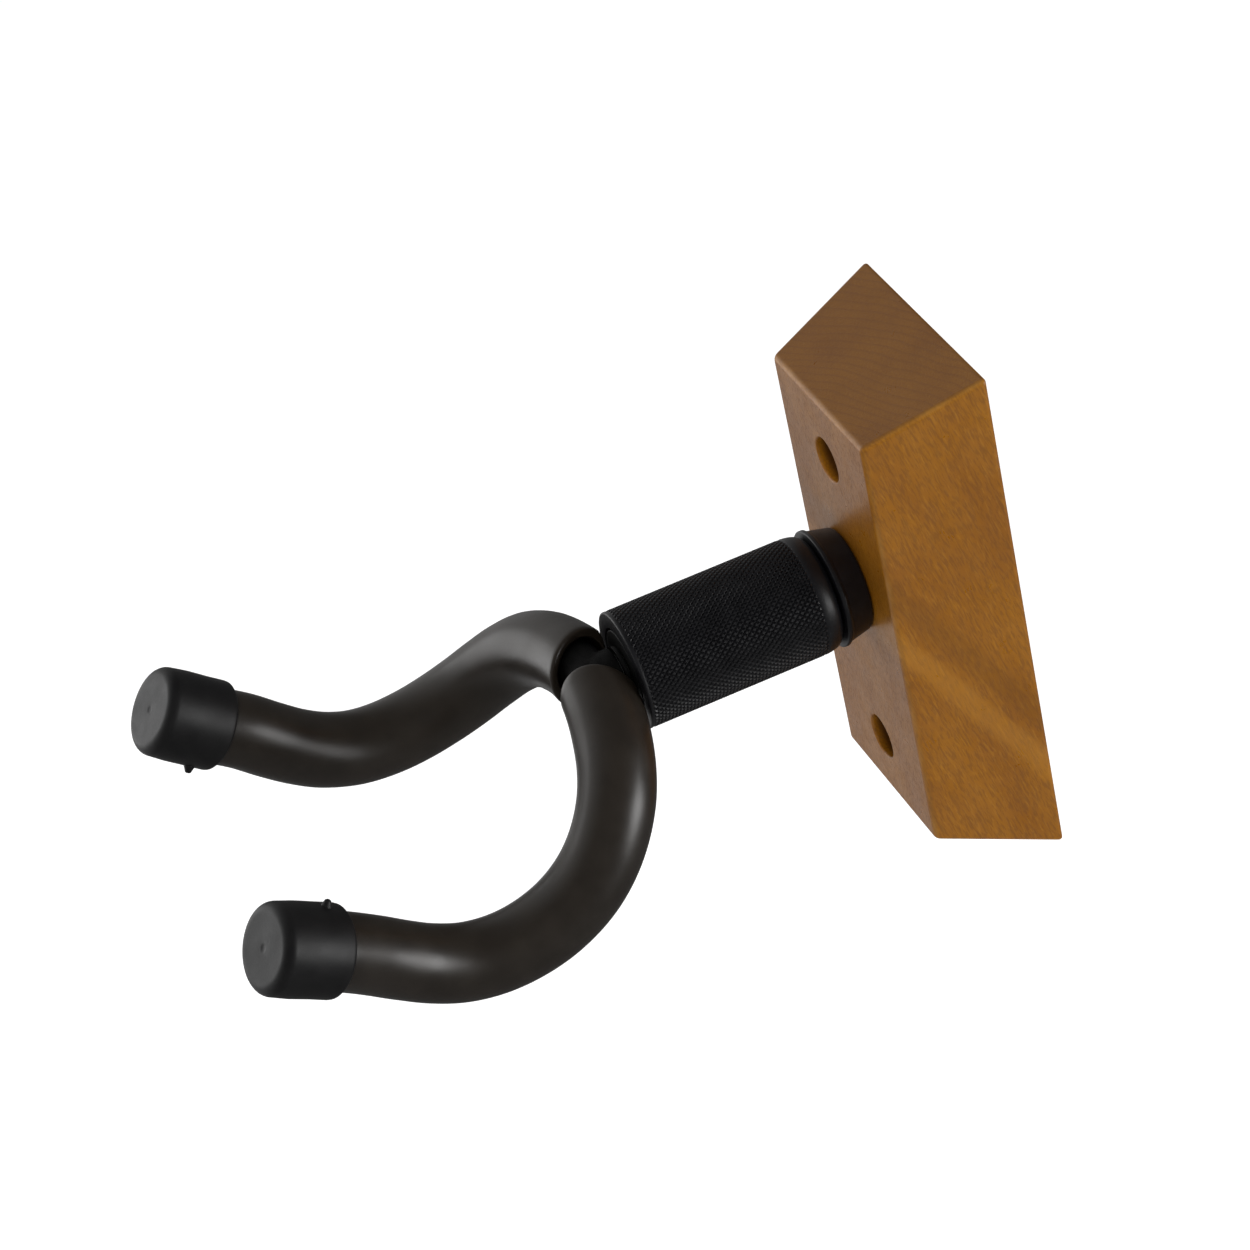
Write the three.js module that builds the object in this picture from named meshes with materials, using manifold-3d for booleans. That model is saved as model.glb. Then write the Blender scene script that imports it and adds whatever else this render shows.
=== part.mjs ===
// Wall hanger for a guitar: hardwood backplate, knurled steel neck and a padded
// steel fork that swivels about the neck's axis.
// Frame: +Z up, +Y into the wall, X to the right. Origin at the centre of the
// backplate's back face, which lies on the wall (y = 0). Millimetres.
import * as THREE from 'three';
import Module from 'manifold-3d';
import { mergeVertices } from 'three/addons/utils/BufferGeometryUtils.js';
import { ConvexGeometry } from 'three/addons/geometries/ConvexGeometry.js';

// ---- driving dimensions -------------------------------------------------
const BACK_W = 52.9, BACK_H = 114.7;        // backplate, face on the wall
const FRONT_W = 40.7, FRONT_H = 97.2;       // backplate, front face
const PLATE_D = 25.05;                      // backplate depth
const EDGE_R = 1.3;                         // rounded edges of the wood
const HOLE_Z = 34.76;                       // wall screw holes, above and below centre
const HOLE_CBORE_R = 4.65, HOLE_CBORE_D = 15; // pocket for the screw head
const HOLE_R = 3.05;                        // clearance for the screw shank
const STEM_Z = 6.15;                        // neck axis above the plate's centre
const RECESS_R = 12.5, RECESS_D = 12;       // pocket for the nut, in the back
const WEB_R = 4.7;                          // stud clearance through the wood web
const SPIGOT_R = 7.9, SPIGOT_END = 17.6;    // neck spigot seated in the wood
const SOCKET_R = 8.2, SOCKET_END = 17.3;
const COLLAR_BACK = 25.35, COLLAR_FRONT = 31.6;
const NECK_BACK = 32.0, NECK_FRONT = 74.4;  // knurled neck
const NECK_R = 12.3;
const BUSH_R = 6.3, BUSH_FLANGE_R = 8.6;
const STUD_R = 3.95;                        // M8 stud of the fork
const RUN_GAP = 0.06;                       // radial running clearance in the bushes
const FORK_ROLL = 8.4;                      // stored position of the swivel, degrees
const FORK_SET = -2.4;                      // fork's set on its stud, degrees
const ROD_R = 4.7;                          // bent steel rod
const SLEEVE_R = 7.7, SLEEVE_BORE = 5.9;    // soft tubing, loose over the rod
// Oblique cut of each sleeve at the hub: distance from the hub on the rod's axis,
// then the change in that distance at the tube's front and at its top.
const SLEEVE_CUT = { right_sleeve: [5.0, -2.2, -2.9], left_sleeve: [4.7, -2.7, 1.0] };
const BOSS_R = 5.6, BOSS_BACK = 75.8, BOSS_FRONT = 79.0;
const CAP_R = 9.2, CAP_BORE = 8.02, CAP_LEN = 15.1, CAP_WALL = 3.0;

// Centreline of one arm from the hub to the end of its cap: [out, forward, up],
// measured from the neck axis, with the fork level. The left arm mirrors the right one.
const ARM = [
  [0.0, 81.1, 0.6], [6.45, 81.53, -0.53], [12.59, 82.63, -2.67], [18.46, 84.36, -5.12],
  [23.56, 86.95, -8.36], [27.33, 90.43, -12.47], [29.89, 94.7, -16.78], [31.5, 99.74, -20.71],
  [32.38, 105.49, -23.78], [32.72, 111.75, -25.79], [32.65, 118.3, -26.49], [32.33, 124.79, -25.56],
  [31.95, 130.79, -22.87], [31.79, 136.15, -19.05], [32.06, 141.08, -14.68], [32.97, 145.79, -10.16],
  [34.18, 150.6, -5.82], [34.83, 155.86, -1.91], [34.69, 161.1, 1.25],
];
// The left arm's last bend is a little tighter, so its cap points up more.
const LEFT_END = [[32.9, 145.95, -10.4], [34.02, 151.3, -6.85], [34.82, 156.45, -2.5], [34.84, 162.0, 2.28]];

// ---- helpers ---------------------------------------------------------------
const wasm = await Module();
wasm.setup();

function clean(geo) {
  const g = geo.index ? geo.clone() : geo;
  g.deleteAttribute('normal');
  g.deleteAttribute('uv');
  let m = mergeVertices(g, 1e-4);
  // drop triangles that collapsed on the axis
  const idx = m.index.array, keep = [];
  for (let i = 0; i < idx.length; i += 3) {
    if (idx[i] !== idx[i + 1] && idx[i + 1] !== idx[i + 2] && idx[i] !== idx[i + 2]) keep.push(idx[i], idx[i + 1], idx[i + 2]);
  }
  m.setIndex(keep);
  return outward(m);
}
function outward(g) {
  const p = g.attributes.position, idx = Array.from(g.index.array);
  const a = new THREE.Vector3(), b = new THREE.Vector3(), c = new THREE.Vector3();
  let vol = 0;
  for (let i = 0; i < idx.length; i += 3) {
    a.fromBufferAttribute(p, idx[i]); b.fromBufferAttribute(p, idx[i + 1]); c.fromBufferAttribute(p, idx[i + 2]);
    vol += a.dot(b.cross(c));
  }
  if (vol < 0) for (let i = 0; i < idx.length; i += 3) { const t = idx[i]; idx[i] = idx[i + 1]; idx[i + 1] = t; }
  g.setIndex(idx);
  return g;
}
function solid(geo) {
  const g = clean(geo);
  return new wasm.Manifold(new wasm.Mesh({
    numProp: 3,
    vertProperties: new Float32Array(g.attributes.position.array),
    triVerts: new Uint32Array(g.index.array),
  }));
}
function geometry(man) {
  const m = man.getMesh();
  const g = new THREE.BufferGeometry();
  g.setAttribute('position', new THREE.BufferAttribute(new Float32Array(m.vertProperties), 3));
  g.setIndex(Array.from(m.triVerts));
  g.computeVertexNormals();
  return g;
}
// Ring or disc about the neck axis: [radius, distance from the wall] pairs.
function turned(profile, n = 32) {
  return new THREE.LatheGeometry(profile.map(([r, v]) => new THREE.Vector2(r, -v)), n);
}
function tubeProfile(r0, r1, v0, v1) {
  return [[r0, v0], [r1, v0], [r1, v1], [r0, v1], [r0, v0]];
}
function rodProfile(r, v0, v1) {
  return [[0, v0], [r, v0], [r, v1], [0, v1]];
}
function arcPoints(r, n) {
  return Array.from({ length: n }, (_, i) => new THREE.Vector2(r * Math.cos((2 * Math.PI * i) / n), r * Math.sin((2 * Math.PI * i) / n)));
}
function hexShape(af, hole, n = 24) {
  const s = new THREE.Shape(Array.from({ length: 6 }, (_, i) => {
    const a = (Math.PI / 3) * i + Math.PI / 6;
    return new THREE.Vector2((af / Math.sqrt(3)) * Math.cos(a), (af / Math.sqrt(3)) * Math.sin(a));
  }));
  if (hole) s.holes.push(new THREE.Path(arcPoints(hole, n)));
  return s;
}
const mat = (name, color, roughness, metalness) => {
  const m = new THREE.MeshStandardMaterial({ color: new THREE.Color(color), roughness, metalness });
  m.name = name;
  return m;
};
const WOOD = mat('varnished_wood', 0x8a5a25, 0.35, 0);
const BLACK = mat('black_steel', 0x161616, 0.42, 0.6);
const NYLON = mat('nylon', 0x1c1c1c, 0.5, 0);
const ZINC = mat('zinc_steel', 0xa8abae, 0.35, 1);
const TUBING = mat('soft_tubing', 0x3b3530, 0.45, 0);
const RUBBER = mat('cap_rubber', 0x1c1c1d, 0.7, 0);

const hanger = new THREE.Group();
function put(parent, name, geo, material) {
  const mesh = new THREE.Mesh(clean(geo), material);
  mesh.geometry.computeVertexNormals();
  mesh.name = name;
  parent.add(mesh);
  return mesh;
}

// ---- backplate -------------------------------------------------------------
// Small rounded corners joined into one convex body give rounded edges.
function plateBody() {
  const pts = [];
  const inset = (half, d) => half - d;
  const slopeW = (BACK_W - FRONT_W) / 2 / PLATE_D, slopeH = (BACK_H - FRONT_H) / 2 / PLATE_D;
  for (const sx of [-1, 1]) for (const sz of [-1, 1]) for (const front of [0, 1]) {
    const y = front ? -(PLATE_D - EDGE_R) : -EDGE_R;
    const v = -y;
    const hx = inset(BACK_W / 2 - slopeW * v, EDGE_R * Math.hypot(1, slopeW));
    const hz = inset(BACK_H / 2 - slopeH * v, EDGE_R * Math.hypot(1, slopeH));
    for (let i = 0; i <= 4; i++) {
      const phi = (Math.PI * i) / 4;
      const m = i === 0 || i === 4 ? 1 : 8;
      for (let k = 0; k < m; k++) {
        const th = (2 * Math.PI * k) / m;
        pts.push(new THREE.Vector3(sx * hx + EDGE_R * Math.sin(phi) * Math.cos(th), y + EDGE_R * Math.cos(phi), sz * hz + EDGE_R * Math.sin(phi) * Math.sin(th)));
      }
    }
  }
  return new ConvexGeometry(pts);
}
let plate = solid(plateBody());
const about = (g, z) => { const c = g.clone(); c.translate(0, 0, z); return solid(c); };
plate = plate
  .subtract(about(turned(rodProfile(RECESS_R, -2, RECESS_D), 40), STEM_Z))
  .subtract(about(turned(rodProfile(WEB_R, RECESS_D - 1, SOCKET_END + 1), 24), STEM_Z))
  .subtract(about(turned(rodProfile(SOCKET_R, SOCKET_END, PLATE_D + 2), 32), STEM_Z));
for (const s of [-1, 1]) {
  plate = plate
    .subtract(about(turned(rodProfile(HOLE_R, -2, PLATE_D + 2), 28), s * HOLE_Z))
    .subtract(about(turned(rodProfile(HOLE_CBORE_R, PLATE_D - HOLE_CBORE_D, PLATE_D + 2), 32), s * HOLE_Z));
}
put(hanger, 'wood_backplate', geometry(plate), WOOD);

// ---- fixed neck: everything turned about the neck axis ---------------------
const neck = new THREE.Group();
neck.position.set(0, 0, STEM_Z);
hanger.add(neck);

// Conical collar: narrow on the wood, flaring to a thin lip behind the neck.
put(neck, 'neck_collar', turned([
  [8.2, COLLAR_BACK], [10.6, COLLAR_BACK], [10.8, COLLAR_BACK + 0.3], [11.9, COLLAR_FRONT - 1.2],
  [12.35, COLLAR_FRONT - 0.7], [12.35, COLLAR_FRONT - 0.15], [12.1, COLLAR_FRONT], [8.2, COLLAR_FRONT], [8.2, COLLAR_BACK],
], 40), BLACK);

// Neck: thick steel tube, spigot in the wood, pockets for a bush at each end.
put(neck, 'knurled_neck', turned([
  [5.3, 30.3], [6.6, 30.3], [6.6, SPIGOT_END], [7.5, SPIGOT_END], [SPIGOT_R, SPIGOT_END + 0.4], [SPIGOT_R, NECK_BACK],
  [11.0, NECK_BACK], [11.9, NECK_BACK + 0.9], [NECK_R, NECK_BACK + 3.6], [NECK_R, NECK_FRONT - 0.4], [NECK_R - 0.4, NECK_FRONT],
  [9.0, NECK_FRONT], [9.0, NECK_FRONT - 1.6], [6.6, NECK_FRONT - 1.6], [6.6, 62.3], [5.3, 62.3], [5.3, 30.3],
], 40), BLACK);

put(neck, 'front_bush', turned([
  [STUD_R + RUN_GAP, 62.6], [BUSH_R, 62.6], [BUSH_R, NECK_FRONT - 1.3], [BUSH_FLANGE_R, NECK_FRONT - 1.3],
  [BUSH_FLANGE_R, NECK_FRONT], [STUD_R + RUN_GAP, NECK_FRONT], [STUD_R + RUN_GAP, 62.6],
], 48), NYLON);
put(neck, 'rear_bush', turned(tubeProfile(STUD_R + RUN_GAP, BUSH_R, SPIGOT_END + 0.2, 30.0), 48), NYLON);
put(neck, 'rear_washer', turned(tubeProfile(4.3, 11.2, 10.1, 11.7), 32), ZINC);

// ---- swivelling fork -------------------------------------------------------
const fork = new THREE.Group();
fork.position.set(0, 0, STEM_Z);
fork.rotation.y = THREE.MathUtils.degToRad(FORK_ROLL);
hanger.add(fork);

put(fork, 'thrust_washer', turned(tubeProfile(4.25, 5.5, NECK_FRONT + 0.3, BOSS_BACK - 0.3), 32), NYLON);
put(fork, 'split_washer', turned([
  [4.25, 7.9], [7.3, 7.9], [7.3, 9.8], [4.25, 9.8], [4.25, 7.9],
], 32), ZINC);
{
  const nut = new THREE.ExtrudeGeometry(hexShape(13, 4.25), { depth: 6.5, bevelEnabled: false });
  nut.rotateX(Math.PI / 2);            // extrusion now runs from y = 0 to y = -6.5
  nut.translate(0, -1.1, 0);
  let n = solid(nut);
  n = n.subtract(solid(turned(rodProfile(5.3, 0, 3.3), 32)));
  put(fork, 'lock_nut', geometry(n), ZINC);
}
put(fork, 'lock_nut_insert', turned(tubeProfile(4.25, 5.0, 1.3, 3.0), 32), NYLON);

const tilt = new THREE.Matrix4()
  .makeTranslation(0, -ARM[0][1], 0)
  .multiply(new THREE.Matrix4().makeRotationZ(THREE.MathUtils.degToRad(FORK_SET)))
  .multiply(new THREE.Matrix4().makeTranslation(0, ARM[0][1], 0));

const right = ARM.map(([u, v, w]) => new THREE.Vector3(u, -v, w).applyMatrix4(tilt));
const left = [...ARM.slice(0, -LEFT_END.length), ...LEFT_END].map(([u, v, w]) => new THREE.Vector3(-u, -v, w).applyMatrix4(tilt));
const whole = new THREE.CatmullRomCurve3([...left.slice(1).reverse(), ...right], false, 'centripetal');
whole.arcLengthDivisions = 2000;
const total = whole.getLength(), half = total / 2;

// Piece of the centreline between two distances from the hub (left is negative).
function stretch(s0, s1, n) {
  const pts = [];
  for (let i = 0; i <= n; i++) pts.push(whole.getPointAt((half + s0 + ((s1 - s0) * i) / n) / total));
  const c = new THREE.CatmullRomCurve3(pts, false, 'centripetal');
  c.arcLengthDivisions = 1000;
  return c;
}
function tube(curve, rOut, rIn, steps, nOut, nIn) {
  const s = new THREE.Shape(arcPoints(rOut, nOut));
  if (rIn) s.holes.push(new THREE.Path(arcPoints(rIn, nIn)));
  return new THREE.ExtrudeGeometry(s, { steps, extrudePath: curve, bevelEnabled: false, curveSegments: 1 });
}

const sleeveEnd = half - CAP_WALL - 0.3;
const rodEnd = sleeveEnd - 1.5;

// Bent rod, with the weld boss that joins it to the stud.
{
  const rod = solid(tube(stretch(-rodEnd, rodEnd, 60), ROD_R, 0, 52, 12, 0));
  const boss = solid(turned([[0, BOSS_BACK + 1.6], [4.3, BOSS_BACK + 1.6], [4.3, BOSS_BACK], [BOSS_R - 0.5, BOSS_BACK], [BOSS_R, BOSS_BACK + 0.5],
    [BOSS_R, BOSS_FRONT - 0.6], [BOSS_R - 0.9, BOSS_FRONT + 0.6], [0, BOSS_FRONT + 0.6]], 28));
  put(fork, 'fork_rod', geometry(rod.add(boss)), BLACK);
}
// Stud: threaded end in the nut, plain shank in the bushes, front end in the boss.
put(fork, 'swivel_stud', turned([
  [0, 1.6], [3.4, 1.6], [3.95, 2.2], [STUD_R, BOSS_BACK + 0.3], [0, BOSS_BACK + 0.3],
], 48), ZINC);

// Soft tubing on each arm: squared off behind where it lies against the neck end,
// and hollowed round the weld boss.
for (const [name, side] of [['right_sleeve', 1], ['left_sleeve', -1]]) {
  const [sCut, front, up] = SLEEVE_CUT[name], s1 = sleeveEnd;
  const curve = side > 0 ? stretch(0.5, s1, 40) : stretch(-s1, -0.5, 40);
  let m = solid(tube(curve, SLEEVE_R, SLEEVE_BORE, 30, 20, 12));
  const at = (s) => whole.getPointAt((half + side * s) / total);
  const c0 = at(sCut), along = at(sCut + 0.4).sub(at(sCut - 0.4)).normalize();
  const fore = new THREE.Vector3(0, -1, 0);
  fore.addScaledVector(along, -fore.dot(along)).normalize();
  const over = along.clone().cross(fore);
  if (over.z < 0) over.negate();
  const n = along.clone().addScaledVector(fore, -front / SLEEVE_R).addScaledVector(over, -up / SLEEVE_R).normalize();
  m = m.trimByPlane([n.x, n.y, n.z], n.dot(c0));
  m = m.subtract(solid(turned(rodProfile(20, 60, NECK_FRONT + 0.3), 24)));
  m = m.subtract(solid(turned(rodProfile(BOSS_R + 0.35, 60, BOSS_FRONT + 0.9), 24)));
  put(fork, name, geometry(m), TUBING);
}

// End caps: closed, rounded front edge, open end over the tubing, one moulding nib.
const NIB = { right_cap: [-0.26, 0.35, 0.9], left_cap: [0.6, -0.37, -0.7] };
for (const [name, side] of [['right_cap', 1], ['left_cap', -1]]) {
  const tip = whole.getPointAt(side > 0 ? 1 : 0);
  const back = whole.getPointAt((half + side * (half - CAP_LEN)) / total);
  const axis = tip.clone().sub(back).normalize();
  const q = new THREE.Quaternion().setFromUnitVectors(new THREE.Vector3(0, 1, 0), axis);
  const place = new THREE.Matrix4().compose(tip, q, new THREE.Vector3(1, 1, 1));
  const outer = new THREE.LatheGeometry([
    [0, -CAP_LEN], [CAP_R - 0.25, -CAP_LEN], [CAP_R, -CAP_LEN + 0.3], [CAP_R, -7], [CAP_R - 0.2, -2.4], [CAP_R - 0.55, -1.2], [CAP_R - 1.3, -0.35], [CAP_R - 2.3, 0], [0, 0],
  ].map(([r, y]) => new THREE.Vector2(r, y)), 28);
  outer.applyMatrix4(place);
  let cap = solid(outer);
  // hollow that follows the tubing as it bends into the cap
  const into = side > 0 ? stretch(half - CAP_LEN - 3, half - CAP_WALL, 10) : stretch(-(half - CAP_WALL), -(half - CAP_LEN - 3), 10);
  cap = cap.subtract(solid(tube(into, CAP_BORE + 0.1, 0, 6, 24, 0)));
  // nib near the open end
  const n = new THREE.Vector3(...NIB[name]);
  n.addScaledVector(axis, -n.dot(axis)).normalize();
  const nib = new THREE.CylinderGeometry(0.45, 1.1, 2.0, 8);
  nib.applyMatrix4(new THREE.Matrix4().compose(
    tip.clone().addScaledVector(axis, -(CAP_LEN - 4.0)).addScaledVector(n, CAP_R + 0.35),
    new THREE.Quaternion().setFromUnitVectors(new THREE.Vector3(0, 1, 0), n), new THREE.Vector3(1, 1, 1)));
  cap = cap.add(solid(nib));
  put(fork, name, geometry(cap), RUBBER);
}

export default hanger;
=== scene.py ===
import math

import bmesh
import bpy
import numpy as np
from mathutils import Matrix, Vector, noise


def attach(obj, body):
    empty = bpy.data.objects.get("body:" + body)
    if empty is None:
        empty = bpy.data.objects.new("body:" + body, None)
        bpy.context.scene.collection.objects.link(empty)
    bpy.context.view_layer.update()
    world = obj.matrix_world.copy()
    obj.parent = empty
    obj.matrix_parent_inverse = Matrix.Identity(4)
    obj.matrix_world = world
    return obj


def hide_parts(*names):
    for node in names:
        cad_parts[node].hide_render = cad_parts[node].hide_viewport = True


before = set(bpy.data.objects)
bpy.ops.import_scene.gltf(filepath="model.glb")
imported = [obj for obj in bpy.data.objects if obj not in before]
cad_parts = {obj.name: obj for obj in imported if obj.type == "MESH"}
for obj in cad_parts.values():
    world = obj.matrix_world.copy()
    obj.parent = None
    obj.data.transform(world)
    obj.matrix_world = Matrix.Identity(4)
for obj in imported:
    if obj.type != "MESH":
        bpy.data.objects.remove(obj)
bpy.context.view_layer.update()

scene = bpy.context.scene

# Shape data, in millimetres, as in the CAD. v is the distance from the wall.
BACK_W, BACK_H, FRONT_W, FRONT_H, PLATE_D = 52.9, 114.7, 40.7, 97.2, 25.05
HOLE_Z, STEM_Z = 34.76, 6.15
FORK_ROLL, FORK_SET = math.radians(8.4), math.radians(-2.4)
ROD_R, SLEEVE_R, SLEEVE_BORE = 4.7, 7.7, 5.9
BOSS_R, CAP_R, CAP_LEN, CAP_WALL = 5.6, 9.2, 15.1, 3.0
NECK_FRONT = 74.4
ARM = [
    (0.0, 81.1, 0.6), (6.45, 81.53, -0.53), (12.59, 82.63, -2.67), (18.46, 84.36, -5.12),
    (23.56, 86.95, -8.36), (27.33, 90.43, -12.47), (29.89, 94.7, -16.78), (31.5, 99.74, -20.71),
    (32.38, 105.49, -23.78), (32.72, 111.75, -25.79), (32.65, 118.3, -26.49), (32.33, 124.79, -25.56),
    (31.95, 130.79, -22.87), (31.79, 136.15, -19.05), (32.06, 141.08, -14.68), (32.97, 145.79, -10.16),
    (34.18, 150.6, -5.82), (34.83, 155.86, -1.91), (34.69, 161.1, 1.25),
]
LEFT_END = [(32.9, 145.95, -10.4), (34.02, 151.3, -6.85), (34.82, 156.45, -2.5), (34.84, 162.0, 2.28)]
# where each sleeve's oblique end cuts the rod's axis, and its change at the front and top
SLEEVE_CUT = {"right_sleeve": (5.0, -2.2, -2.9), "left_sleeve": (4.7, -2.7, 1.0)}
TAU = 2 * math.pi


# ---- meshes ------------------------------------------------------------------
def build(name, verts, faces, sharp=32.0):
    """Mesh object from millimetre points; normals made to face outwards."""
    me = bpy.data.meshes.new(name)
    me.from_pydata([tuple(map(float, p)) for p in np.asarray(verts, float) * 0.001], [], [tuple(map(int, f)) for f in faces])
    bm = bmesh.new()
    bm.from_mesh(me)
    bmesh.ops.remove_doubles(bm, verts=bm.verts, dist=1e-7)
    bmesh.ops.recalc_face_normals(bm, faces=bm.faces)
    bm.to_mesh(me)
    bm.free()
    me.update()
    ob = bpy.data.objects.new(name, me)
    scene.collection.objects.link(ob)
    smooth(ob, sharp)
    return ob


def smooth(ob, sharp=32.0):
    me = ob.data
    me.polygons.foreach_set("use_smooth", [True] * len(me.polygons))
    me.set_sharp_from_angle(angle=math.radians(sharp))
    me.update()


def finish_piece(ob, material, body, slot, *nodes):
    ob.data.materials.clear()
    ob.data.materials.append(material)
    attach(ob, body)
    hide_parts(*nodes)
    return ob


def rounded(corners, seg=4, closed=True):
    """2-D outline with filleted corners from (r, v, fillet radius) triples."""
    pts, n = [], len(corners)
    for i, c in enumerate(corners):
        p = np.array(c[:2], float)
        rad = c[2] if len(c) > 2 else 0.0
        if rad <= 0 or (not closed and i in (0, n - 1)):
            pts.append(tuple(p))
            continue
        a = np.array(corners[i - 1][:2], float) - p
        b = np.array(corners[(i + 1) % n][:2], float) - p
        la, lb = np.linalg.norm(a), np.linalg.norm(b)
        a, b = a / la, b / lb
        half = math.acos(max(-1, min(1, float(a @ b)))) / 2
        cut = min(rad / math.tan(half), la * 0.48, lb * 0.48)
        rad = cut * math.tan(half)
        mid = (a + b) / np.linalg.norm(a + b)
        centre = p + mid * (rad / math.sin(half))
        s, e = p + a * cut - centre, p + b * cut - centre
        for k in range(seg + 1):
            t = k / seg
            w = s * (1 - t) + e * t
            pts.append(tuple(centre + w / np.linalg.norm(w) * rad))
    return pts


def strip(rings, n, close):
    """Quads between rings of n points each, as index tuples."""
    faces = []
    m = len(rings)
    for i in range(m if close else m - 1):
        a, b = rings[i], rings[(i + 1) % m]
        for k in range(n):
            k2 = (k + 1) % n
            if a[0] == "pole":
                faces.append((a[1], b[1] + k, b[1] + k2))
            elif b[0] == "pole":
                faces.append((a[1] + k, b[1], a[1] + k2))
            else:
                faces.append((a[1] + k, b[1] + k, b[1] + k2, a[1] + k2))
    return faces


def revolve(profile, n=96, z=STEM_Z, shape=None, roll=0.0, closed=True):
    """Surface turned about the neck axis. shape(theta, r, v) may change the radius."""
    th = np.arange(n) * TAU / n + roll
    verts, rings = [], []
    for r, v in profile:
        if r < 1e-6:
            rings.append(("pole", len(verts)))
            verts.append((0.0, -v, z))
            continue
        rr = np.full(n, r) if shape is None else np.array([shape(t - roll, r, v) for t in th])
        rings.append(("ring", len(verts)))
        verts += list(zip(rr * np.cos(th), np.full(n, -v), rr * np.sin(th) + z))
    return verts, strip(rings, n, closed)


def place(points):
    """Fork coordinates to the row frame: the fork's stored roll, then the stem height."""
    p = np.atleast_2d(np.asarray(points, float))
    c, s = math.cos(FORK_ROLL), math.sin(FORK_ROLL)
    return np.c_[p[:, 0] * c + p[:, 2] * s, p[:, 1], -p[:, 0] * s + p[:, 2] * c + STEM_Z]


# ---- fork centreline ---------------------------------------------------------
def catmull(points, n=60):
    p = np.asarray(points, float)
    a = np.vstack([2 * p[0] - p[1], p, 2 * p[-1] - p[-2]])
    out = []
    for i in range(1, len(a) - 2):
        p0, p1, p2, p3 = a[i - 1], a[i], a[i + 1], a[i + 2]
        d0 = max(float((p1 - p0) @ (p1 - p0)) ** 0.25, 1e-4)
        d1 = max(float((p2 - p1) @ (p2 - p1)) ** 0.25, 1e-4)
        d2 = max(float((p3 - p2) @ (p3 - p2)) ** 0.25, 1e-4)
        t1 = ((p1 - p0) / d0 - (p2 - p0) / (d0 + d1) + (p2 - p1) / d1) * d1
        t2 = ((p2 - p1) / d1 - (p3 - p1) / (d1 + d2) + (p3 - p2) / d2) * d1
        s = np.linspace(0, 1, n, endpoint=False)[:, None]
        out.append(p1 + t1 * s + (-3 * p1 + 3 * p2 - 2 * t1 - t2) * s**2 + (2 * p1 - 2 * p2 + t1 + t2) * s**3)
    out.append(a[-2:-1])
    return np.vstack(out)


def fork_point(u, v, w):
    c, s = math.cos(FORK_SET), math.sin(FORK_SET)
    x, y = u, -v + ARM[0][1]
    return (x * c - y * s, x * s + y * c - ARM[0][1], w)


_right = [fork_point(u, v, w) for u, v, w in ARM]
_left = [fork_point(-u, v, w) for u, v, w in ARM[:-len(LEFT_END)] + LEFT_END]
_line = catmull(_left[:0:-1] + _right)
_arc = np.r_[0, np.cumsum(np.linalg.norm(np.diff(_line, axis=0), axis=1))]
HALF = _arc[-1] / 2


def at(s):
    """Fork-frame points at signed distances s from the hub (left is negative)."""
    s = np.atleast_1d(np.asarray(s, float)) + HALF
    return np.c_[[np.interp(s, _arc, _line[:, i]) for i in range(3)]].T


def along(s):
    d = at(np.asarray(s) + 0.4) - at(np.asarray(s) - 0.4)
    return d / np.linalg.norm(d, axis=1)[:, None]


# frame carried along the whole line without twist
_gs = np.linspace(-HALF, HALF, 481)
_gt = along(_gs)
_gn = np.zeros_like(_gt)
_gn[240] = np.cross(_gt[240], (0, 1, 0)) / np.linalg.norm(np.cross(_gt[240], (0, 1, 0)))
for _i in list(range(241, 481)) + list(range(239, -1, -1)):
    _j = _i - 1 if _i > 240 else _i + 1
    _w = _gn[_j] - _gt[_i] * (_gn[_j] @ _gt[_i])
    _gn[_i] = _w / np.linalg.norm(_w)


def side_of(s):
    t = along([s])[0]
    n = np.array([np.interp(s, _gs, _gn[:, i]) for i in range(3)])
    n = n - t * (n @ t)
    n /= np.linalg.norm(n)
    return t, n, np.cross(t, n)


def sweep(profile, n=40, closed=True, wobble=None, shift=None):
    """Rings about the fork's centreline; profile holds (s, radius). shift(s, r, front, up) slides a point along it."""
    verts, rings = [], []
    for s, r in profile:
        c = at([s])[0]
        if r < 1e-6:
            rings.append(("pole", len(verts)))
            verts.append(tuple(c))
            continue
        t, a, b = side_of(s)
        f = np.array((0.0, -1.0, 0.0))
        f = f - t * (f @ t)
        f /= np.linalg.norm(f)
        u = np.cross(t, f)
        u = u if u[2] > 0 else -u
        rings.append(("ring", len(verts)))
        for k in range(n):
            th = TAU * k / n
            d = math.cos(th) * a + math.sin(th) * b
            rr = r + (wobble(s, th, r) if wobble else 0.0)
            if shift is None:
                verts.append(tuple(c + rr * d))
                continue
            s2 = s + shift(s, r, float(d @ f), float(d @ u))
            t2 = along([s2])[0]
            d = d - t2 * (d @ t2)
            verts.append(tuple(at([s2])[0] + rr * d / np.linalg.norm(d)))
    return verts, strip(rings, n, closed)


def boolean(ob, cutter, how="DIFFERENCE"):
    m = ob.modifiers.new("cut", "BOOLEAN")
    m.operation, m.solver, m.object = how, "EXACT", cutter
    dg = bpy.context.evaluated_depsgraph_get()
    me = bpy.data.meshes.new_from_object(ob.evaluated_get(dg))
    ob.modifiers.clear()
    old = ob.data
    ob.data = me
    bpy.data.meshes.remove(old)
    cut_mesh = cutter.data
    bpy.data.objects.remove(cutter)
    bpy.data.meshes.remove(cut_mesh)


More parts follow.
